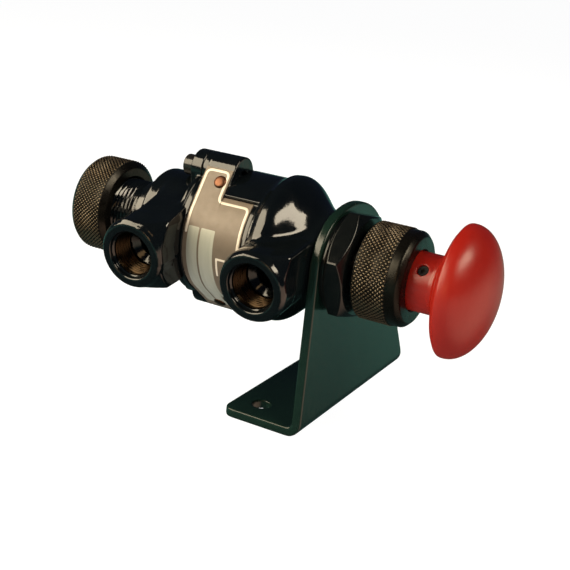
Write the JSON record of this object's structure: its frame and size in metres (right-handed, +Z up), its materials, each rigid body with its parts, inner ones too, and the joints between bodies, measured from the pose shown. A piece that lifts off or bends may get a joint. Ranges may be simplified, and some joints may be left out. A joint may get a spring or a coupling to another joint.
{
  "type": "seacock valve",
  "caption": "Palm button spool valve: black cast body with threaded front ports, knurled ends and a red mushroom button, held in a bent plate bracket by its panel nut.",
  "frame": {"origin": "on the underside of the bracket's foot, at the middle of the foot's width and straight under the valve's axis", "axes": "+X along the valve's axis towards the red button, +Y to the back, away from the front ports, +Z up"},
  "size_m": [0.1789, 0.1225, 0.1014],
  "materials": {
    "black_enamel": "glossy enamel on cast metal",
    "bracket_black": "satin black paint on sheet steel",
    "nut_black": "satin black oxide on steel",
    "cap_bronze": "dark bronze coloured metal, knurled",
    "button_red": "glossy moulded plastic",
    "plate_metal": "satin sheet, without any words or marks",
    "rivet_copper": "copper coloured rivet",
    "machined_steel": "turned and ground",
    "bronze": "turned bearing bronze",
    "seal_rubber": "moulded rubber"
  },
  "bodies": {
    "valve_body": {"main_body": "black_enamel", "left_head": "black_enamel", "end_cap": "cap_bronze", "end_cap_seal": "seal_rubber", "spring_disc": "machined_steel", "lug_screw_top": "machined_steel", "lug_screw_bottom": "machined_steel", "nameplate": "plate_metal", "plate_rivet_top": "rivet_copper", "plate_rivet_bottom": "rivet_copper", "spool_seal_1": "seal_rubber", "spool_seal_2": "seal_rubber", "spool_seal_3": "seal_rubber", "spool_seal_4": "seal_rubber", "seal_cage_1": "bronze", "seal_cage_2": "bronze", "seal_cage_3": "bronze", "seal_retainer": "machined_steel", "joint_seal": "seal_rubber", "gland_bush": "bronze", "stem_wiper": "seal_rubber", "mounting_bracket": "bracket_black", "panel_washer": "nut_black", "panel_nut": "nut_black", "knurled_collar": "cap_bronze"},
    "spring_carriage": {"spring_seat": "machined_steel", "return_spring": "machined_steel"},
    "plunger": {"spool": "machined_steel", "stem": "machined_steel", "stop_ring": "machined_steel", "palm_button": "button_red", "button_set_screw": "machined_steel"}
  },
  "joints": [
    {"name": "button_push", "type": "slide", "parent": "valve_body", "child": "spring_carriage", "axis": [1, 0, 0], "range_m": [-0.008, 0], "stiffness_N_per_m": 1500, "springref_m": 0.012, "deforming": ["return_spring"]},
    {"name": "button_turn", "type": "hinge", "parent": "spring_carriage", "child": "plunger", "pos_m": [0, 0, 0.0685], "axis": [1, 0, 0], "continuous": true}
  ]
}
